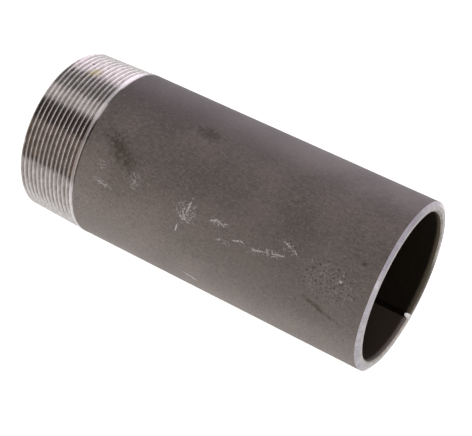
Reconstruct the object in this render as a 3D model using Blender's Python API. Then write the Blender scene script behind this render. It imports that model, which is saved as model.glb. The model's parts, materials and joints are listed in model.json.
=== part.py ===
"""Threaded pipe nipple.

A short length of black steel pipe with a taper pipe thread cut on one end and a bevel for welding on
the other. The pipe was rolled from flat strip and its two edges were welded together, so it is made
of two solids: the rolled strip, which is open along one side, and the weld that fills the opening and
stands up inside the bore as a bead. Both were threaded, faced and bevelled together.

The pipe lies along +X. The origin is on its axis at the threaded end, which is the end it is held by
once it is screwed in, and the weld end is at +X.
"""
import math

import bmesh
import bpy

MM = 0.001

# Pipe
OUTER_RADIUS = 38.05 * MM
WALL = 4.5 * MM
LENGTH = 170.0 * MM
BORE_RADIUS = OUTER_RADIUS - WALL
DEBURR = 0.3 * MM  # small chamfer on the bore's edge at the threaded end
BORE_CHAMFER = 0.65 * MM  # 45 degree chamfer on the bore's edge at the weld end, through the bead too

# Taper pipe thread, size 2 1/2, right-handed: 11 turns to the inch, 55 degree flanks
PITCH = 25.4 * MM / 11
THREAD_DEPTH = 0.640327 * PITCH
TAPER = 1 / 32  # growth of the radius with distance from the end: 1 in 16 on diameter
GAUGE_RADIUS = 75.184 / 2 * MM  # over the crests, one gauge length from the end
GAUGE_LENGTH = 17.5 * MM
FULL_THREAD = 26.7 * MM
RUN_OUT = 3.6 * MM  # length over which the groove rises to the outside and fades out
THREAD_LENGTH = FULL_THREAD + RUN_OUT
START_RADIUS = 35.9 * MM  # where the 45 degree start chamfer meets the end face
START_TURN = 0.2  # how far round the pipe the thread starts

# Thread profile, in parts of the pitch: crest flat, flank, root flat, flank
FLAT = 1 / 6
FLANK = 1 / 3
ROOT_CENTRE = FLAT + FLANK + FLAT / 2
PROFILE_CORNERS = (0, FLAT, FLAT + FLANK, 2 * FLAT + FLANK)

# Weld bevel, 30 degrees from the end face
BEVEL_DEPTH = 1.85 * MM
BEVEL_LENGTH = BEVEL_DEPTH * math.tan(math.radians(30))

# Longitudinal weld. Angles around the pipe run from +Y towards +Z.
SEAM_ANGLE = math.radians(-70)
BEAD_HEIGHT = 1.6 * MM  # above the bore
BEAD_STEPS = 8
GAP = 0.3 * MM  # between the weld and the strip's edges

# The strip is faceted, and its missing facet is where the weld goes.
FACETS = 72
FACET_ANGLE = math.tau / FACETS
WELD_HALF_ANGLE = FACET_ANGLE / 2 - GAP / BORE_RADIUS

SMOOTH_BELOW = math.radians(20)


def clear_scene():
    for old in list(bpy.data.objects):
        bpy.data.objects.remove(old, do_unlink=True)


def steel(name, colour, roughness, metallic):
    material = bpy.data.materials.new(name)
    material.use_nodes = True
    shader = material.node_tree.nodes["Principled BSDF"]
    shader.inputs["Base Color"].default_value = (*colour, 1)
    shader.inputs["Roughness"].default_value = roughness
    shader.inputs["Metallic"].default_value = metallic
    return material


def crest_radius(along):
    return GAUGE_RADIUS + (along - GAUGE_LENGTH) * TAPER


def thread_radius(angle, along):
    """Radius of the outside at an angle, at a distance from the threaded end, up to THREAD_LENGTH."""
    part = (along / PITCH - angle / math.tau + START_TURN) % 1
    from_root = abs(part - ROOT_CENTRE) - FLAT / 2
    cut = min(max(1 - from_root / FLANK, 0), 1)
    last_depth = OUTER_RADIUS - crest_radius(FULL_THREAD) + THREAD_DEPTH
    rise = max(along - FULL_THREAD, 0) / RUN_OUT * last_depth
    groove = crest_radius(along) - cut * THREAD_DEPTH + rise
    start_chamfer = START_RADIUS + along
    return min(OUTER_RADIUS, start_chamfer, groove)


def wall_section(angle, inner_radius):
    """The wall cut lengthwise at one angle: (distance from the threaded end, radius), all round it.

    Every section has the same number of points, which follow the thread's helix. Points past either
    end of the thread are held at that end, and merge there.
    """
    outline = []
    for turn in range(-1, math.ceil(THREAD_LENGTH / PITCH) + 2):
        for corner in PROFILE_CORNERS:
            along = PITCH * (turn + corner + angle / math.tau - START_TURN)
            along = min(max(along, 0), THREAD_LENGTH)
            outline.append((along, thread_radius(angle, along)))
    outline += [
        (LENGTH - BEVEL_LENGTH, OUTER_RADIUS),
        (LENGTH, OUTER_RADIUS - BEVEL_DEPTH),
        (LENGTH, BORE_RADIUS + BORE_CHAMFER),
        (LENGTH - (BORE_RADIUS + BORE_CHAMFER - inner_radius), inner_radius),
        (DEBURR, inner_radius),
        (0, inner_radius + DEBURR),
    ]
    return outline


def loft(name, angles, inner_radii, material):
    """A closed solid through the wall's sections at the given angles, flat at the first and last."""
    model = bmesh.new()
    loops = []
    for angle, inner_radius in zip(angles, inner_radii):
        loop = []
        for along, radius in wall_section(angle, inner_radius):
            point = (along, radius * math.cos(angle), radius * math.sin(angle))
            loop.append(model.verts.new(point))
        loops.append(loop)
    for near, far in zip(loops, loops[1:]):
        for index, corner in enumerate(near):
            after = (index + 1) % len(near)
            model.faces.new((corner, near[after], far[after], far[index]))
    model.faces.new(loops[0])
    model.faces.new(reversed(loops[-1]))
    bmesh.ops.remove_doubles(model, verts=model.verts, dist=0.001 * MM)
    bmesh.ops.recalc_face_normals(model, faces=model.faces)
    bmesh.ops.triangulate(model, faces=model.faces)

    mesh = bpy.data.meshes.new(name)
    model.to_mesh(mesh)
    model.free()
    mesh.shade_smooth()
    mesh.set_sharp_from_angle(angle=SMOOTH_BELOW)
    mesh.materials.append(material)
    solid = bpy.data.objects.new(name, mesh)
    bpy.context.collection.objects.link(solid)
    return solid


def make_pipe_wall():
    """The rolled strip: every facet but the one at the seam."""
    angles = [SEAM_ANGLE + FACET_ANGLE * (step + 0.5) for step in range(FACETS)]
    scaled_steel = steel("black_pipe", (0.09, 0.09, 0.095), roughness=0.55, metallic=0.6)
    return loft("pipe_wall", angles, [BORE_RADIUS] * len(angles), scaled_steel)


def make_weld_seam():
    """The weld between the strip's edges, flush outside and rounded where it stands in the bore."""
    angles = []
    inner_radii = []
    for step in range(BEAD_STEPS + 1):
        around = math.pi * step / BEAD_STEPS
        angles.append(SEAM_ANGLE - WELD_HALF_ANGLE * math.cos(around))
        inner_radii.append(BORE_RADIUS - BEAD_HEIGHT * math.sin(around))
    weld_steel = steel("weld_metal", (0.13, 0.125, 0.125), roughness=0.5, metallic=0.7)
    return loft("weld_seam", angles, inner_radii, weld_steel)


clear_scene()
make_pipe_wall()
make_weld_seam()
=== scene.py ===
"""The looks of the threaded pipe nipple.

Two closed pieces stand for the two CAD nodes. pipe_wall_surface is the wall of the pipe: its cut
thread with rounded crests and roots, the black outside, the weld bevel, the root face, the chamfer on
the bore's edge and the bore. seam_bead is the weld that closes the wall, with its rough bead in the
bore. Both are made as sections through the wall at many angles, joined into one skin, and each zone
of the skin has its own material.
"""
import json
import math

import bmesh
import bpy
import numpy as np
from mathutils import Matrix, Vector, noise


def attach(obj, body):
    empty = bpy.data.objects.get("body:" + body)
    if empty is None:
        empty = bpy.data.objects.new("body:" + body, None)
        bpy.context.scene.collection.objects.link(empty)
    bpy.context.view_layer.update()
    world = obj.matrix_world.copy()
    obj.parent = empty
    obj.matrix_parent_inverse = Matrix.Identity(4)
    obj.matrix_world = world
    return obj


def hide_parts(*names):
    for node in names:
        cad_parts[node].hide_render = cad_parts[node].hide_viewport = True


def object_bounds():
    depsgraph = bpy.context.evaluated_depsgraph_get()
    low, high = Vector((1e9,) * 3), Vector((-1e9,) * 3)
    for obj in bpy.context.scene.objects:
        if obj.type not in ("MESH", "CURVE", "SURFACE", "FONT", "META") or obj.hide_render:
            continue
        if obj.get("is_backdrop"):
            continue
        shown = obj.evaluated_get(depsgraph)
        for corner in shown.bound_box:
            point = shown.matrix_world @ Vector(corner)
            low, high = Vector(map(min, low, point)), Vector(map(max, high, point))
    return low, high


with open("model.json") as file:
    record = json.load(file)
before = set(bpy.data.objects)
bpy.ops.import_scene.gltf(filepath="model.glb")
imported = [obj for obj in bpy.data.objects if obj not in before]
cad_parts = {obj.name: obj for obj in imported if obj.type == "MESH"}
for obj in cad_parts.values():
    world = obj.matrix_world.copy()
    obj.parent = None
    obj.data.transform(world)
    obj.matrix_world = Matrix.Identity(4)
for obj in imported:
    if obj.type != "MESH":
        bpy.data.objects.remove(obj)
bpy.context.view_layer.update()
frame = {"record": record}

MM = 0.001

# ------------------------------------------------------------------------------------------- sizes
mounts = {mount["name"]: Vector(mount["pos_m"]) for mount in frame["record"]["mounts"]}
THREADED_END = mounts["screwed_joint"]  # on the pipe's axis
LENGTH = mounts["weld_end"].x - THREADED_END.x
MIDDLE = THREADED_END + Vector((LENGTH / 2, 0, 0))

OUTER_RADIUS = 38.05 * MM
WALL = 4.5 * MM
BORE_RADIUS = OUTER_RADIUS - WALL
DEBURR = 0.3 * MM  # chamfer on the bore's edge at the threaded end
BEVEL_DEPTH = 1.85 * MM
BEVEL_LENGTH = BEVEL_DEPTH * math.tan(math.radians(30))

# Taper pipe thread, 11 turns to the inch, right-handed
PITCH = 25.4 * MM / 11
THREAD_DEPTH = 0.640327  # this and the next are in pitches
THREAD_ROUNDING = 0.137329
HALF_FLANK_ANGLE = math.radians(27.5)
FIRST_CREST = 1 / 12 - 0.2  # how many turns the first crest is from the end, as on the CAD thread
TAPER = 1 / 32
GAUGE_RADIUS = 75.184 / 2 * MM
GAUGE_LENGTH = 17.5 * MM
FULL_THREAD = 26.7 * MM
RUN_OUT = 3.6 * MM
THREAD_LENGTH = FULL_THREAD + RUN_OUT
START_RADIUS = 35.9 * MM

# The longitudinal weld. Angles around the pipe run from +Y towards +Z.
SEAM_ANGLE = math.radians(-70)
WELD_HALF_ANGLE = math.radians(2.0)
HAIRLINE = 0.01 * MM  # between the wall's edges and the weld
BEAD_HEIGHT = 1.6 * MM

# How finely the skin is divided
AROUND_STEPS = 216
ARC_STEPS = 3  # over half a crest and over half a root
BARREL_STEPS = 56
BORE_STEPS = 48
END_STEPS = 4
BEAD_STEPS = 14
SHARP_FROM = math.radians(24)

# Unevenness of the surfaces: (size of the bumps, height)
BARREL_WAVES = ((26 * MM, 0.03 * MM), (5 * MM, 0.012 * MM))
THREAD_TEARS = ((1.3 * MM, 0.02 * MM),)
BEAD_RIPPLES = ((7 * MM, 0.28 * MM), (2.2 * MM, 0.16 * MM))

# The bevel's outer edge wanders in straight stretches, because the pipe isn't quite round.
EDGE_WANDER = np.random.default_rng(5).uniform(-0.32 * MM, 0.32 * MM, 15)

# Depth of the 45 degree chamfer on the bore's edge at the weld end, at equal steps around the pipe. It
# was cut by hand, through the weld bead too, and is uneven.
CHAMFER_DEPTHS = np.array([0.60, 0.90, 1.15, 0.65, 0.25, 0.50, 0.60, 0.60]) * MM

# ----------------------------------------------------------------- marks on the outside of the pipe
# Each mark: along from the threaded end in mm, around in degrees from opposite the weld, half its
# length and half its width in mm, and how far its length turns from along to around, in degrees.
SCUFFS = (
    (84.0, 33.0, 7.0, 6.5, 0),
    (99.2, 30.0, 6.0, 2.4, -9),
    (103.5, 40.0, 4.5, 1.4, -10),
    (123.0, 34.4, 11.0, 2.4, -14),
    (131.5, 25.0, 5.0, 3.5, 25),
    (40.9, 28.7, 3.2, 3.2, 0),
    (43.5, 40.0, 6.0, 2.0, 10),
    (57.5, 29.0, 3.4, 5.0, 0),
)
SCRATCHES = (
    (90.5, 81.0, 5.2, 0.55, 14),
    (84.8, 29.0, 4.6, 0.55, 96),
    (83.6, 35.5, 3.0, 0.5, 50),
    (84.0, 37.8, 3.4, 0.65, 14),
    (81.9, 45.4, 2.0, 0.5, 95),
    (97.0, 30.4, 2.8, 0.55, -30),
    (100.2, 30.2, 3.0, 0.55, 18),
    (102.8, 29.2, 1.6, 0.45, -25),
    (109.0, 35.9, 2.2, 0.5, -22),
    (111.6, 34.9, 1.8, 0.4, 12),
    (119.0, 35.7, 3.2, 0.3, -16),
    (128.4, 32.3, 3.6, 0.4, -12),
    (130.2, 24.0, 3.2, 0.28, 15),
    (134.4, 26.4, 3.0, 0.28, 42),
    (43.5, 40.6, 3.6, 0.28, 8),
    (155.8, 30.6, 0.9, 0.7, 0),
)
STAINS = (
    (45.5, 15.0, 17.0, 6.5, 33),
    (52.0, 20.6, 5.0, 4.5, 33),
    (76.4, -19.8, 9.5, 5.0, 10),
    (133.9, 24.0, 1.8, 1.4, 0),
    (161.8, 14.6, 2.2, 1.5, 0),
    (150.5, 52.4, 13.5, 1.4, 17),
)
SANDY_PATCH = (151.0, 34.0, 17.0, 10.0, 0)
YELLOW_STAIN = (12.9, -28.5, 3.2, 4.2, 0)
NICK = (8.9, -39.5, 0.7, 0.7, 0)
FLATTEN = 1e4  # a scale so large that the radius plays no part in a mark's shape

# The thread's end, in mm from the threaded end: the last crest with a painted highlight, and the steel
# beyond the cut
RING_FROM, RING_FULL_FROM = 27.3, 27.9
RING_FULL_TO, RING_TO = 28.9, 29.3
UNCUT_FROM, UNCUT_FULL_FROM = 29.5, 30.0

# ------------------------------------------------------------------------------------------ colours
SCALE_COLOURS = (0.116, 0.094, 0.087), (0.192, 0.158, 0.147)  # each pair is a dark and a light
# Painted light and painted shade in broad zones of the black scale
PAINTED_LIGHT_SCALE = (0.40, 0.36, 0.29)
PAINTED_SHADE_SCALE = (0.045, 0.035, 0.033)
SAND_COLOUR = (0.33, 0.285, 0.26)
PIT_COLOUR = (0.055, 0.042, 0.037)
STAIN_COLOUR = (0.050, 0.041, 0.024)
BARE_STEEL = (0.80, 0.77, 0.77)
CREST_COLOURS = (0.61, 0.58, 0.56), (0.73, 0.70, 0.685)
ROOT_SHADE_COLOURS = (0.46, 0.43, 0.405), (0.58, 0.55, 0.53)
TEAR_COLOUR = (0.30, 0.27, 0.25)
RING_HIGHLIGHT_COLOUR = (0.86, 0.82, 0.81)
UNCUT_COLOUR = (0.26, 0.235, 0.225)
YELLOW = (0.52, 0.49, 0.30)
NICK_COLOUR = (0.06, 0.05, 0.04)
BEVEL_COLOURS = (0.46, 0.435, 0.455), (0.585, 0.56, 0.585)
STROKE_COLOUR = (0.32, 0.30, 0.31)
BEVEL_SHADE_COLOUR = (0.155, 0.145, 0.17)
BEVEL_HIGHLIGHT_COLOUR = (0.94, 0.90, 0.86)
FACE_COLOURS = (0.42, 0.40, 0.39), (0.56, 0.535, 0.525)
FACE_SHADE_COLOUR = (0.06, 0.053, 0.040)
CHAMFER_COLOURS = (0.27, 0.25, 0.215), (0.40, 0.37, 0.325)
CHAMFER_SHADE_COLOUR = (0.055, 0.048, 0.034)
CUT_WELD_HIGHLIGHT_COLOURS = (0.36, 0.35, 0.34), (0.70, 0.68, 0.67)
BORE_SCALE_AND_SHADE_COLOURS = (0.0035, 0.0022, 0.0010), (0.0075, 0.0050, 0.0028)
BORE_PAINTED_LIGHT = (0.050, 0.038, 0.027)
RUBBED_COLOURS = (0.080, 0.066, 0.046), (0.18, 0.154, 0.142)
BEAD_SHADOW_COLOURS = (0.0015, 0.0010, 0.0006), (0.0040, 0.0030, 0.0020)
TRIMMED_COLOURS = (0.105, 0.100, 0.108), (0.17, 0.16, 0.165)
PLANED_COLOUR = (0.30, 0.285, 0.28)

# ------------------------------------------------------------------------------------ camera, stage
CAMERA_AZIMUTH = math.radians(32.93)
CAMERA_ELEVATION = math.radians(47.91)
CAMERA_DISTANCE = 0.5875
CAMERA_AIM = (3.13 * MM, -5.88 * MM)  # right of and above the pipe's middle, as the camera sees it
CAMERA_LENS = 104.16

WORLD_COLOUR = (0.29, 0.285, 0.29)
FLOOR_HALF = 3.0
FLOOR_COLOUR = (0.80, 0.79, 0.77)
FLOOR_GLOW = 0.95
BACKDROP_COLOUR = (0.93, 0.875, 0.98)
BACKDROP_GLOW = 0.80
FLOOR_MIRRORED_SHADE_COLOUR = (0.83, 0.82, 0.83)
FRONT_DARK_COLOUR = (0.28, 0.23, 0.205)
FRONT_LIGHT_COLOUR = (0.42, 0.37, 0.335)
FLAG_COLOUR = (0.075, 0.062, 0.056)
SIDE_LIGHT_COLOUR = (1.45, 1.38, 1.46)
OVERHEAD_ENERGY = 1.6
OVERHEAD_COLOUR = (1.0, 0.94, 0.985)
KEY_ENERGY = 3.0
KEY_PLACE = (0.42, -0.55, 0.38)
KEY_SIZE = 0.30

# What the pipe mirrors, in metres from its middle
LEFT_X = -1.4
FRONT_Y = -0.24
FRONT_TOP = 0.26
FRONT_SPLIT_X = -0.06  # the front is dark to the left of this and lighter to the right
FRONT_RIGHT_X = 0.2
FOOT_HEIGHT = 0.024
FLAGS_Z = 0.45
FLAGS_FRONT_Y = -0.48
FLAGS_SPLIT_X = -0.42
SIDE_X = 0.6
SIDE_HALF_WIDTH = 0.7
OVERHEAD_PLACE = (-0.5, 0.02, 1.0)
OVERHEAD_SIZE = (2.2, 0.40)


# --------------------------------------------------------------------------------------- the shapes
def unevenness(points, waves):
    """Height of the uneven surface at each point, never above 0."""
    height = np.zeros(len(points))
    for size, amount in waves:
        values = [noise.noise(Vector(point) / size) for point in points]
        height += (np.array(values) - 1) * amount
    return height


def groove_depth(turn):
    """Depth of the rounded 55 degree thread below its crests, in pitches, after so many turns."""
    from_crest = np.abs((turn - FIRST_CREST + 0.5) % 1 - 0.5)
    from_root = 0.5 - from_crest
    arc_end = THREAD_ROUNDING * math.cos(HALF_FLANK_ANGLE)
    arc_depth = THREAD_ROUNDING * (1 - math.sin(HALF_FLANK_ANGLE))

    def arc(distance):
        inside = np.minimum(distance, arc_end)
        return THREAD_ROUNDING - np.sqrt(THREAD_ROUNDING**2 - inside**2)

    flank = arc_depth + (from_crest - arc_end) / math.tan(HALF_FLANK_ANGLE)
    depth = np.where(from_crest < arc_end, arc(from_crest), flank)
    return np.where(from_root < arc_end, THREAD_DEPTH - arc(from_root), depth)


def thread_radius(angle, along):
    """Radius of the thread. At its inner end the groove rises to the outside and fades out."""
    crest = GAUGE_RADIUS + (along - GAUGE_LENGTH) * TAPER
    last_root = GAUGE_RADIUS + (FULL_THREAD - GAUGE_LENGTH) * TAPER - THREAD_DEPTH * PITCH
    rise = np.maximum(along - FULL_THREAD, 0) / RUN_OUT * (OUTER_RADIUS - last_root)
    groove = crest - groove_depth(along / PITCH - angle / math.tau) * PITCH + rise
    start_chamfer = START_RADIUS + along
    return np.minimum(np.minimum(OUTER_RADIUS, start_chamfer), groove)


def rows_in_turn():
    """Places in one turn from crest to crest, closer together on the crest's and the root's arcs."""
    slopes = np.linspace(0, math.pi / 2 - HALF_FLANK_ANGLE, ARC_STEPS + 1)
    half_crest = THREAD_ROUNDING * np.sin(slopes)
    half_crest = np.append(half_crest, 1.15 * half_crest[-1])
    half_turn = np.append(half_crest, 0.5 - half_crest[::-1])
    return np.append(half_turn, 1 - half_turn[-2:0:-1])


def thread_rows(angle):
    """Distances from the threaded end that follow the thread's helix, held at the thread's two ends."""
    whole_turns = np.arange(-1, math.ceil(THREAD_LENGTH / PITCH) + 2)
    turns = np.add.outer(whole_turns, rows_in_turn()).ravel() + FIRST_CREST
    return np.clip((turns + angle / math.tau) * PITCH, 0, THREAD_LENGTH)


def between_corners(angle, values):
    """The value at an angle, where values are given at equal steps around the pipe."""
    corner_angles = math.tau * np.arange(len(values)) / len(values)
    return np.interp(angle, corner_angles, values, period=math.tau)


def wall_section(angle, inner_radius):
    """One section: arrays of distance from the threaded end and of radius, and each row's zone."""
    along = thread_rows(angle)
    radius = thread_radius(angle, along)
    zones = ["thread"] * len(along)

    barrel_start = (THREAD_LENGTH, OUTER_RADIUS)
    barrel_end = (LENGTH - BEVEL_LENGTH + between_corners(angle, EDGE_WANDER), OUTER_RADIUS)
    face_edge = (LENGTH, OUTER_RADIUS - BEVEL_DEPTH)
    chamfer_edge = (LENGTH, BORE_RADIUS + between_corners(angle, CHAMFER_DEPTHS))
    bore_end = (LENGTH - (chamfer_edge[1] - inner_radius), inner_radius)
    bore_start = (DEBURR, inner_radius)
    ring_edge = (0, inner_radius + DEBURR)
    lines = [
        ("barrel", barrel_start, barrel_end, BARREL_STEPS),
        ("bevel", barrel_end, face_edge, END_STEPS),
        ("face", face_edge, chamfer_edge, END_STEPS),
        ("chamfer", chamfer_edge, bore_end, END_STEPS),
        ("bore", bore_end, bore_start, BORE_STEPS),
        ("thread", bore_start, ring_edge, 2),
        ("thread", ring_edge, (0, radius[0]), END_STEPS),
    ]
    for zone, start, end, steps in lines:
        shares = np.arange(steps) / steps
        along = np.append(along, start[0] + (end[0] - start[0]) * shares)
        radius = np.append(radius, start[1] + (end[1] - start[1]) * shares)
        zones += [zone] * steps
    return along, radius, zones


def skin(name, angles, inner_radii, zone_materials, uneven):
    """A closed piece through the wall's sections at the given angles."""
    model = bmesh.new()
    slots = list(dict.fromkeys(zone_materials.values()))
    loops = []
    for angle, inner_radius in zip(angles, inner_radii):
        along, radius, zones = wall_section(angle, inner_radius)
        outward = Vector((0, math.cos(angle), math.sin(angle)))
        smooth = np.stack([along, radius * outward.y, radius * outward.z], 1)
        radius = radius + uneven(smooth, np.array(zones))
        loop = []
        for row in range(len(along)):
            place = THREADED_END + outward * radius[row] + Vector((along[row], 0, 0))
            loop.append(model.verts.new(place))
        loops.append(loop)
    for near, far in zip(loops, loops[1:]):
        for row, corner in enumerate(near):
            after = (row + 1) % len(near)
            face = model.faces.new((corner, near[after], far[after], far[row]))
            face.material_index = slots.index(zone_materials[zones[row]])
    for end in (loops[0], loops[-1]):
        cap = model.faces.new(end)
        cap.material_index = slots.index(zone_materials["face"])
    bmesh.ops.remove_doubles(model, verts=model.verts, dist=0.0005 * MM)
    bmesh.ops.recalc_face_normals(model, faces=model.faces)
    bmesh.ops.triangulate(model, faces=[face for face in model.faces if len(face.verts) > 4])

    mesh = bpy.data.meshes.new(name)
    model.to_mesh(mesh)
    model.free()
    mesh.shade_smooth()
    mesh.set_sharp_from_angle(angle=SHARP_FROM)
    for material in slots:
        mesh.materials.append(material)
    piece = bpy.data.objects.new(name, mesh)
    bpy.context.collection.objects.link(piece)
    return piece


def wall_unevenness(points, zones):
    height = np.zeros(len(points))
    rolled = (zones == "barrel") | (zones == "bore")
    height[rolled] = unevenness(points[rolled], BARREL_WAVES)
    cut = (zones == "thread") & (points[:, 0] > DEBURR) & (points[:, 0] < FULL_THREAD)
    height[cut] = unevenness(points[cut], THREAD_TEARS)
    return height


def bead_unevenness(points, zones):
    height = np.zeros(len(points))
    bore = zones == "bore"
    height[bore] = -unevenness(points[bore], BEAD_RIPPLES) / 2
    return height


# ------------------------------------------------------------------------------------ material nodes
def connect(tree, node, values):
    """Sets a node's sockets, by name or number, each to a value or to the socket that feeds it."""
    for socket, value in values.items():
        if isinstance(value, bpy.types.NodeSocket):
            tree.links.new(value, node.inputs[socket])
        else:
            node.inputs[socket].default_value = value


def add(tree, kind, values, **settings):
    node = tree.nodes.new("ShaderNode" + kind)
    for name, value in settings.items():
        setattr(node, name, value)
    connect(tree, node, values)
    return node


def calculate(tree, operation, *values):
    return add(tree, "Math", dict(enumerate(values)), operation=operation).outputs[0]


def fade(tree, value, start, end, low=0.0, high=1.0):
    """low up to start, high from end, and a smooth change between them."""
    values = {0: value, 1: start, 2: end, 3: low, 4: high}
    return add(tree, "MapRange", values, interpolation_type="SMOOTHSTEP").outputs[0]


def grain(tree, place, size, detail=3.0, roughness=0.55, stretch=(1, 1, 1)):
    """Noise with features of about that size, in millimetres, longer by stretch along each axis."""
    scale = tuple(1 / (size * share) for share in stretch)
    scaled = add(tree, "VectorMath", {0: place, 1: scale}, operation="MULTIPLY").outputs[0]
    values = {"Vector": scaled, "Scale": 1.0, "Detail": detail, "Roughness": roughness}
    return add(tree, "TexNoise", values).outputs["Fac"]


def mix_colours(tree, share, first, second):
    """Mixes two colours, each three numbers or a socket."""
    first, second = (
        given if isinstance(given, bpy.types.NodeSocket) else (*given, 1) for given in (first, second)
    )
    values = {0: share, 6: first, 7: second}
    return add(tree, "Mix", values, data_type="RGBA").outputs[2]


def mix_numbers(tree, share, first, second):
    return add(tree, "Mix", {0: share, 2: first, 3: second}).outputs[0]


def largest(tree, values):
    found = values[0]
    for value in values[1:]:
        found = calculate(tree, "MAXIMUM", found, value)
    return found


def blotches(tree, field, colours):
    """Two colours in blotches, from a noise."""
    return mix_colours(tree, fade(tree, field, 0.35, 0.65), *colours)


class PipeCoordinates:
    """Where a point is on the pipe, in millimetres. around is 0 opposite the weld.

    mm is its place from the threaded end, and unrolled is (along, around, radius).
    """

    def __init__(self, tree):
        row_place = add(tree, "TexCoord", {}).outputs["Object"]
        ends = {0: row_place, 1: THREADED_END}
        from_end = add(tree, "VectorMath", ends, operation="SUBTRACT").outputs[0]
        self.mm = add(tree, "VectorMath", {0: from_end, "Scale": 1 / MM}, operation="SCALE").outputs[0]
        turn = {"Vector": self.mm, "Axis": (1, 0, 0), "Angle": -(SEAM_ANGLE + math.pi)}
        turned = add(tree, "VectorRotate", turn, rotation_type="AXIS_ANGLE").outputs[0]
        self.along, across, up = add(tree, "SeparateXYZ", {0: turned}).outputs
        angle = calculate(tree, "ARCTAN2", up, across)
        self.around = calculate(tree, "MULTIPLY", angle, OUTER_RADIUS / MM)
        squares = [calculate(tree, "POWER", side, 2) for side in (across, up)]
        self.radius = calculate(tree, "SQRT", calculate(tree, "ADD", *squares))
        values = {0: self.along, 1: self.around, 2: self.radius}
        self.unrolled = add(tree, "CombineXYZ", values).outputs[0]


def spot(tree, place, mark, raggedness=0.8, full_within=0.35):
    """1 within that share of a mark's size and 0 outside the mark, with a ragged edge."""
    along, around, half_length, half_width, turn = mark
    values = {
        "Vector": place.unrolled,
        "Location": (along, math.radians(around) * OUTER_RADIUS / MM, OUTER_RADIUS / MM),
        "Rotation": (0, 0, math.radians(turn)),
        "Scale": (half_length, half_width, FLATTEN),
    }
    mapped = add(tree, "Mapping", values, vector_type="TEXTURE").outputs[0]
    distance = add(tree, "VectorMath", {0: mapped}, operation="LENGTH").outputs["Value"]
    rough = grain(tree, place.mm, 1.6, detail=3.0)
    ragged = calculate(tree, "MULTIPLY_ADD", rough, 2 * raggedness, -raggedness)
    return fade(tree, calculate(tree, "ADD", distance, ragged), 1.0, full_within)


def spots(tree, place, marks, raggedness=0.8, full_within=0.35):
    return largest(tree, [spot(tree, place, mark, raggedness, full_within) for mark in marks])


def hairlines(tree, place, size, thickness):
    """Thin curly lines: 1 on a line and 0 off it."""
    field = grain(tree, place, size, detail=1.5, stretch=(1.6, 1, 1))
    off_line = calculate(tree, "ABSOLUTE", calculate(tree, "SUBTRACT", field, 0.5))
    return fade(tree, off_line, thickness, 0.0)


def beside(tree, place, middle, full_within, none_from, most):
    """most up to that many mm around the pipe from a middle, and 0 from further off."""
    away = calculate(tree, "ABSOLUTE", calculate(tree, "SUBTRACT", place.around, middle))
    return fade(tree, away, none_from, full_within, 0.0, most)


def new_material(name):
    material = bpy.data.materials.new(name)
    material.use_nodes = True
    tree = material.node_tree
    return material, tree, tree.nodes["Principled BSDF"], PipeCoordinates(tree)


def bump(tree, height, depth):
    """A normal for a height from 0 to 1, with its depth in metres."""
    return add(tree, "Bump", {"Strength": 1.0, "Distance": depth, "Height": height}).outputs[0]


def finish_surface(tree, shader, base, metallic, roughness, height, depth, specular=0.5):
    values = {
        "Base Color": base,
        "Metallic": metallic,
        "Roughness": roughness,
        "Specular IOR Level": specular,
        "Normal": bump(tree, height, depth),
    }
    connect(tree, shader, values)


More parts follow.
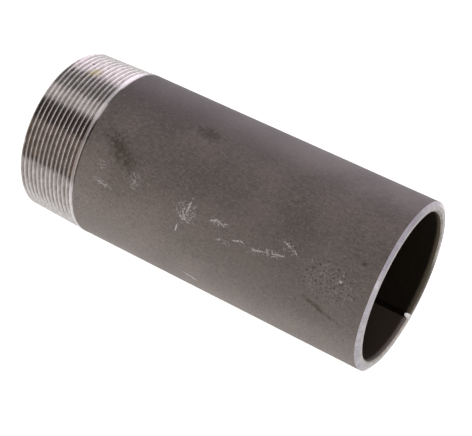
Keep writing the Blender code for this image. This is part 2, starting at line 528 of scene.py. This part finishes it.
# ----------------------------------------------------------------------------------- the materials
def mill_scale():
    """Black rolled oxide with a sandy grain on one side, mottling, dark stains and bright scuffs, and
    broad zones of painted light and painted shade.
    """
    material, tree, shader, place = new_material("mill_scale")
    specks = grain(tree, place.mm, 0.9, detail=3.0, roughness=0.7)
    streaks = grain(tree, place.unrolled, 1.0, detail=3.0, stretch=(3, 1, 1))
    mottle = grain(tree, place.mm, 2.2, detail=5.0, roughness=0.7)
    clouds = grain(tree, place.mm, 24.0, detail=1.0)
    near_side = fade(tree, place.around, -12.0, 30.0)
    far_side = fade(tree, place.around, -6.0, -22.0)
    sandy = fade(tree, place.around, -30.0, 20.0, 0.25, 0.55)
    sandy = largest(tree, [sandy, calculate(tree, "MULTIPLY", spot(tree, place, SANDY_PATCH), 1.9)])

    tone = calculate(tree, "MULTIPLY_ADD", streaks, 0.3, calculate(tree, "MULTIPLY", mottle, 0.35))
    tone = calculate(tree, "MULTIPLY_ADD", clouds, 0.35, tone)
    base = mix_colours(tree, fade(tree, tone, 0.36, 0.64), *SCALE_COLOURS)
    # Painted light: the near side of the scale is paler
    base = mix_colours(tree, calculate(tree, "MULTIPLY", near_side, 0.16), base, PAINTED_LIGHT_SCALE)
    sand = calculate(tree, "MULTIPLY", fade(tree, specks, 0.52, 0.72), sandy)
    base = mix_colours(tree, sand, base, SAND_COLOUR)
    pits = calculate(tree, "MULTIPLY", fade(tree, specks, 0.46, 0.30), sandy)
    base = mix_colours(tree, pits, base, PIT_COLOUR)

    # Painted shade: broad darker zones, set so that the tones come out right under this stage's lights
    below = fade(tree, place.around, 34.0, 54.0, 0.42, 0.12)
    below = calculate(tree, "MULTIPLY", below, fade(tree, place.along, 25.0, 150.0))
    below = calculate(tree, "MULTIPLY", below, near_side)
    above = calculate(tree, "MULTIPLY", far_side, fade(tree, place.along, 60.0, 150.0, 0.50, 0.12))
    base = mix_colours(tree, calculate(tree, "ADD", below, above), base, PAINTED_SHADE_SCALE)

    stain = calculate(tree, "MULTIPLY", spots(tree, place, STAINS, 1.1, 0.0), 0.72)
    base = mix_colours(tree, stain, base, STAIN_COLOUR)
    curls = hairlines(tree, place.mm, 1.3, 0.05)
    curls = calculate(tree, "MULTIPLY", spots(tree, place, SCUFFS, 0.6), curls)
    curls = calculate(tree, "MULTIPLY", curls, 0.45)
    broken = fade(tree, grain(tree, place.mm, 0.45, detail=2.0), 0.40, 0.58, 0.15, 0.8)
    scratched = calculate(tree, "MULTIPLY", spots(tree, place, SCRATCHES, 0.8), broken)
    bare = largest(tree, [curls, scratched])
    base = mix_colours(tree, bare, base, BARE_STEEL)
    metallic = mix_numbers(tree, bare, 0.30, 0.8)
    roughness = mix_numbers(tree, bare, fade(tree, mottle, 0.3, 0.7, 0.46, 0.58), 0.4)
    finish_surface(tree, shader, base, metallic, roughness, specks, 0.10 * MM)
    return material


def thread_steel():
    """Steel torn by the threading die: rough light crests, and smooth roots darker as painted shade."""
    material, tree, shader, place = new_material("thread_steel")
    crest_at_end = (GAUGE_RADIUS - GAUGE_LENGTH * TAPER) / MM
    crest = calculate(tree, "MULTIPLY_ADD", place.along, TAPER, crest_at_end)
    depth = calculate(tree, "SUBTRACT", crest, place.radius)
    in_root = fade(tree, depth, 0.25, 1.35)
    rings = grain(tree, place.unrolled, 0.18, detail=2.0, stretch=(1, 60, 1))
    tears = grain(tree, place.unrolled, 0.6, detail=3.0, stretch=(1, 4, 1))
    patches = grain(tree, place.mm, 3.0, detail=3.0)

    crests = blotches(tree, patches, CREST_COLOURS)
    roots = blotches(tree, patches, ROOT_SHADE_COLOURS)
    # Painted shade: the roots are darker than the crests
    base = mix_colours(tree, in_root, crests, roots)
    base = mix_colours(tree, fade(tree, tears, 0.56, 0.72, 0.0, 0.45), base, TEAR_COLOUR)
    ring_start = fade(tree, place.along, RING_FROM, RING_FULL_FROM)
    ring_end = fade(tree, place.along, RING_TO, RING_FULL_TO)
    last_ring = calculate(tree, "MULTIPLY", ring_start, ring_end)
    # Painted highlight along the last crest, fainter over one side of the pipe
    ring_highlight = calculate(tree, "MULTIPLY", last_ring, fade(tree, depth, 0.12, 0.02))
    ring_highlight = calculate(tree, "MULTIPLY", ring_highlight, fade(tree, place.around, -30.0, 0.0, 0.25, 1.0))
    base = mix_colours(tree, ring_highlight, base, RING_HIGHLIGHT_COLOUR)
    uncut = fade(tree, place.along, UNCUT_FROM, UNCUT_FULL_FROM)
    base = mix_colours(tree, uncut, base, UNCUT_COLOUR)
    stained = calculate(tree, "MULTIPLY", spot(tree, place, YELLOW_STAIN, 1.2), 0.7)
    base = mix_colours(tree, stained, base, YELLOW)
    base = mix_colours(tree, spot(tree, place, NICK, 0.3), base, NICK_COLOUR)
    roughness = mix_numbers(tree, in_root, 0.18, 0.08)
    roughness = calculate(tree, "ADD", roughness, fade(tree, rings, 0.3, 0.7, -0.03, 0.05))
    roughness = mix_numbers(tree, ring_highlight, roughness, 0.34)
    finish_surface(tree, shader, base, 1.0, roughness, rings, 0.004 * MM)
    return material


def bevel_steel():
    """Ground steel, with fine grinding marks across the bevel, painted shade in one zone and painted
    highlights in two.
    """
    material, tree, shader, place = new_material("bevel_steel")
    strokes = grain(tree, place.unrolled, 0.35, detail=2.0, stretch=(10, 1, 10))
    patches = grain(tree, place.mm, 4.0, detail=3.0)
    base = blotches(tree, patches, BEVEL_COLOURS)
    base = mix_colours(tree, fade(tree, strokes, 0.50, 0.70, 0.0, 0.5), base, STROKE_COLOUR)
    # Painted shade: one zone of the bevel is darker
    base = mix_colours(tree, beside(tree, place, -7.0, 12.0, 24.0, 0.62), base, BEVEL_SHADE_COLOUR)
    # Painted highlight: two zones of the bevel further round are brighter
    from_middle = calculate(tree, "ABSOLUTE", calculate(tree, "SUBTRACT", place.around, 15.0))
    beyond = fade(tree, from_middle, 56.0, 68.0)
    before_weld = fade(tree, from_middle, 92.0, 78.0)
    painted_highlight = calculate(tree, "MULTIPLY", calculate(tree, "MULTIPLY", beyond, before_weld), 0.75)
    base = mix_colours(tree, painted_highlight, base, BEVEL_HIGHLIGHT_COLOUR)
    roughness = fade(tree, strokes, 0.3, 0.7, 0.36, 0.48)
    finish_surface(tree, shader, base, 1.0, roughness, strokes, 0.012 * MM)
    return material


def face_steel():
    """The root face: turned steel, with painted shade beside the weld."""
    material, tree, shader, place = new_material("face_steel")
    rings = grain(tree, place.unrolled, 0.25, detail=2.0, stretch=(1, 40, 1))
    patches = grain(tree, place.mm, 5.0, detail=3.0)
    base = blotches(tree, patches, FACE_COLOURS)
    # Painted shade: darker beside the weld
    base = mix_colours(tree, beside(tree, place, -102.0, 6.0, 20.0, 0.8), base, FACE_SHADE_COLOUR)
    roughness = fade(tree, rings, 0.3, 0.7, 0.34, 0.5)
    finish_surface(tree, shader, base, 1.0, roughness, rings, 0.012 * MM)
    return material


def chamfer_steel():
    """The bore's chamfer: cut steel, with painted shade beside the weld."""
    material, tree, shader, place = new_material("chamfer_steel")
    rings = grain(tree, place.unrolled, 0.3, detail=2.0, stretch=(1, 30, 1))
    patches = grain(tree, place.mm, 3.0, detail=3.0)
    base = blotches(tree, patches, CHAMFER_COLOURS)
    # Painted shade: darker beside the weld
    base = mix_colours(tree, beside(tree, place, -107.0, 10.0, 22.0, 0.85), base, CHAMFER_SHADE_COLOUR)
    roughness = fade(tree, rings, 0.3, 0.7, 0.34, 0.5)
    finish_surface(tree, shader, base, 1.0, roughness, rings, 0.012 * MM)
    return material


def cut_weld():
    """The weld bead's end, cut by the same chamfer: bright cut steel, brightened further as a painted
    highlight.
    """
    material, tree, shader, place = new_material("cut_weld")
    rings = grain(tree, place.unrolled, 0.3, detail=2.0, stretch=(1, 10, 1))
    # Partly painted highlight: brighter than the cut steel alone
    base = blotches(tree, rings, CUT_WELD_HIGHLIGHT_COLOURS)
    roughness = fade(tree, rings, 0.3, 0.7, 0.36, 0.5)
    finish_surface(tree, shader, base, 0.7, roughness, rings, 0.02 * MM)
    return material


def bore_scale():
    """Dark scale of the bore, rubbed off along its mouth; its near black is partly painted shade, and
    one side has painted light towards the weld end.
    """
    material, tree, shader, place = new_material("bore_scale")
    fine = grain(tree, place.mm, 0.8, detail=3.0)
    weld_end = LENGTH / MM
    # The near-black scale is partly painted shade inside the bore
    base = blotches(tree, fine, BORE_SCALE_AND_SHADE_COLOURS)
    near_side = fade(tree, place.around, 50.0, 75.0)
    towards_end = fade(tree, place.along, 120.0, weld_end, 0.12, 0.5)
    # Painted light: paler on one side, most towards the weld end
    base = mix_colours(tree, calculate(tree, "MULTIPLY", near_side, towards_end), base, BORE_PAINTED_LIGHT)
    rubbed = mix_colours(tree, fade(tree, place.around, 50.0, 85.0), *RUBBED_COLOURS)
    ragged_along = calculate(tree, "ADD", place.along, fine)
    mouth = fade(tree, ragged_along, weld_end - 2.4, weld_end - 0.7)
    base = mix_colours(tree, mouth, base, rubbed)
    roughness = fade(tree, fine, 0.3, 0.7, 0.70, 0.85)
    finish_surface(tree, shader, base, 0.0, roughness, fine, 0.08 * MM, specular=0.1)
    return material


def bead_scale_and_shadow():
    """The weld bead in the bore: rippled, and darker than the scale beside it as a painted shadow."""
    material, tree, shader, place = new_material("bead_scale_and_shadow")
    ripples = grain(tree, place.mm, 1.6, detail=3.0, stretch=(0.6, 1, 1))
    # Painted shadow: the bead is near black
    base = blotches(tree, ripples, BEAD_SHADOW_COLOURS)
    roughness = fade(tree, ripples, 0.3, 0.7, 0.45, 0.65)
    finish_surface(tree, shader, base, 0.0, roughness, ripples, 0.15 * MM, specular=0.05)
    return material


def trimmed_weld():
    """The weld's outside, planed flush along the pipe and blued by the heat."""
    material, tree, shader, place = new_material("trimmed_weld")
    planing = grain(tree, place.mm, 0.3, detail=2.0, stretch=(60, 1, 1))
    patches = grain(tree, place.mm, 5.0, detail=3.0)
    base = blotches(tree, patches, TRIMMED_COLOURS)
    base = mix_colours(tree, fade(tree, planing, 0.52, 0.7, 0.0, 0.6), base, PLANED_COLOUR)
    roughness = fade(tree, planing, 0.3, 0.7, 0.38, 0.52)
    finish_surface(tree, shader, base, 0.6, roughness, planing, 0.03 * MM)
    return material


# ---------------------------------------------------------------------------------------- the stage
def glowing(name, base, glow):
    """A matt colour that also gives off light, at that share of the colour."""
    material = bpy.data.materials.new(name)
    material.use_nodes = True
    shader = material.node_tree.nodes["Principled BSDF"]
    shader.inputs["Base Color"].default_value = (*base, 1)
    shader.inputs["Roughness"].default_value = 1.0
    shader.inputs["Specular IOR Level"].default_value = 0.0
    shader.inputs["Emission Color"].default_value = (*base, 1)
    shader.inputs["Emission Strength"].default_value = glow
    return material


def card(name, low, high, material):
    """A flat rectangle between two opposite corners, level or upright, as part of the stage."""
    low, high = Vector(low), Vector(high)
    if low.z == high.z:
        corners = [low, (high.x, low.y, low.z), high, (low.x, high.y, low.z)]
    else:
        corners = [low, (high.x, high.y, low.z), high, (low.x, low.y, high.z)]
    mesh = bpy.data.meshes.new(name)
    mesh.from_pydata([tuple(corner) for corner in corners], [], [(0, 1, 2, 3)])
    mesh.materials.append(material)
    made = bpy.data.objects.new(name, mesh)
    bpy.context.collection.objects.link(made)
    made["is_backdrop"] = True
    return made


def reflection_card(name, low, high, colour):
    """A card of plain colour that shows only in reflections."""
    made = card(name, low, high, glowing(name, (0, 0, 0), 0))
    shader = made.data.materials[0].node_tree.nodes["Principled BSDF"]
    shader.inputs["Emission Color"].default_value = (*colour, 1)
    shader.inputs["Emission Strength"].default_value = 1.0
    made.visible_camera = False
    made.visible_diffuse = False
    made.visible_shadow = False
    made.visible_transmission = False
    return made


def area_light(name, place, size, energy, aim):
    lamp = bpy.data.lights.new(name, "AREA")
    lamp.shape = "RECTANGLE"
    lamp.size, lamp.size_y = size
    lamp.energy = energy
    light = bpy.data.objects.new(name, lamp)
    light.location = place
    light.rotation_mode = "QUATERNION"
    light.rotation_quaternion = (Vector(place) - Vector(aim)).to_track_quat("Z", "Y")
    bpy.context.collection.objects.link(light)
    return light


def make_stage(floor_height):
    """A white floor and backdrop, and what the pipe mirrors: all places are from the pipe's middle."""
    x, y, z = MIDDLE
    floor_white = glowing("floor_white", FLOOR_COLOUR, FLOOR_GLOW)
    card(
        "floor",
        (x - FLOOR_HALF, y - FLOOR_HALF, floor_height),
        (x + FLOOR_HALF, y + FLOOR_HALF, floor_height),
        floor_white,
    )
    backdrop_white = glowing("backdrop_white", BACKDROP_COLOUR, BACKDROP_GLOW)
    card("backdrop", (x - 2.0, y + 1.1, floor_height), (x + 2.0, y + 1.1, z + 0.96), backdrop_white)

    floor, above = floor_height, floor_height + 1 * MM
    left, split, right = x + LEFT_X, x + FRONT_SPLIT_X, x + FRONT_RIGHT_X
    front_y, front_top = y + FRONT_Y, z + FRONT_TOP
    foot_y, foot_top = front_y + 5 * MM, floor + FOOT_HEIGHT
    flags_split, flags_y, flags_z = x + FLAGS_SPLIT_X, y + FLAGS_FRONT_Y, z + FLAGS_Z
    side_x, side_near, side_far = x + SIDE_X, y - SIDE_HALF_WIDTH, y + SIDE_HALF_WIDTH
    mirrored = (
        # The floor as the pipe mirrors it, dimmer than the floor itself: painted shade
        ("floor_mirrored_shade", (left, front_y, above), (x + 0.7, y + 1.0, above), FLOOR_MIRRORED_SHADE_COLOUR),
        ("front_dark", (left, front_y, floor), (split, front_y, front_top), FRONT_DARK_COLOUR),
        ("front_light", (split, front_y, floor), (right, front_y, front_top), FRONT_LIGHT_COLOUR),
        # A dark strip seen only in reflections, standing in for shade at the foot of the front card
        ("front_foot_shade", (left, foot_y, floor), (split, foot_y, foot_top), FLAG_COLOUR),
        ("flag_far", (left, flags_y, flags_z), (flags_split, y - 0.07, flags_z), FLAG_COLOUR),
        ("flag_near", (flags_split, flags_y, flags_z), (x + 0.02, y - 0.12, flags_z), FLAG_COLOUR),
        ("side_light", (side_x, side_near, floor), (side_x, side_far, z + 0.6), SIDE_LIGHT_COLOUR),
    )
    for name, low, high, colour in mirrored:
        reflection_card(name, low, high, colour)

    overhead_place = MIDDLE + Vector(OVERHEAD_PLACE)
    straight_below = (overhead_place.x, overhead_place.y, z)
    overhead = area_light("overhead", overhead_place, OVERHEAD_SIZE, OVERHEAD_ENERGY, straight_below)
    overhead.data.color = OVERHEAD_COLOUR
    key_place = MIDDLE + Vector(KEY_PLACE)
    key = area_light("key", key_place, (KEY_SIZE, KEY_SIZE), KEY_ENERGY, MIDDLE)
    key.visible_glossy = False

    world = bpy.data.worlds.new("studio")
    world.use_nodes = True
    world.node_tree.nodes["Background"].inputs["Color"].default_value = (*WORLD_COLOUR, 1)
    bpy.context.scene.world = world


def make_camera():
    lens = bpy.data.cameras.new("camera")
    lens.lens = CAMERA_LENS
    lens.clip_start = 0.01
    camera = bpy.data.objects.new("camera", lens)
    level = math.cos(CAMERA_ELEVATION)
    back = Vector(
        (math.sin(CAMERA_AZIMUTH) * level, -math.cos(CAMERA_AZIMUTH) * level, math.sin(CAMERA_ELEVATION))
    )
    right = Vector((math.cos(CAMERA_AZIMUTH), math.sin(CAMERA_AZIMUTH), 0))
    above = back.cross(right)
    camera.location = MIDDLE + back * CAMERA_DISTANCE + right * CAMERA_AIM[0] + above * CAMERA_AIM[1]
    camera.rotation_mode = "QUATERNION"
    camera.rotation_quaternion = (-back).to_track_quat("-Z", "Y")
    bpy.context.collection.objects.link(camera)
    bpy.context.scene.camera = camera


# ------------------------------------------------------------------------------------- put together
thread, bevel, face = thread_steel(), bevel_steel(), face_steel()

edge = WELD_HALF_ANGLE + HAIRLINE / BORE_RADIUS
wall_angles = np.linspace(SEAM_ANGLE + edge, SEAM_ANGLE + math.tau - edge, AROUND_STEPS + 1)
wall_materials = {
    "thread": thread,
    "barrel": mill_scale(),
    "bevel": bevel,
    "face": face,
    "chamfer": chamfer_steel(),
    "bore": bore_scale(),
}
wall_radii = [BORE_RADIUS] * len(wall_angles)
wall = skin("pipe_wall_surface", wall_angles, wall_radii, wall_materials, wall_unevenness)
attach(wall, "root")
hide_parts("pipe_wall")

across_bead = math.pi * np.arange(BEAD_STEPS + 1) / BEAD_STEPS
bead_angles = SEAM_ANGLE - WELD_HALF_ANGLE * np.cos(across_bead)
bead_radii = BORE_RADIUS - BEAD_HEIGHT * np.sin(across_bead)
bead_materials = {
    "thread": thread,
    "barrel": trimmed_weld(),
    "bevel": bevel,
    "face": face,
    "chamfer": cut_weld(),
    "bore": bead_scale_and_shadow(),
}
bead = skin("seam_bead", bead_angles, bead_radii, bead_materials, bead_unevenness)
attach(bead, "root")
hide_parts("weld_seam")

make_stage(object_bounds()[0].z)
make_camera()
bpy.context.scene.view_settings.view_transform = "Standard"
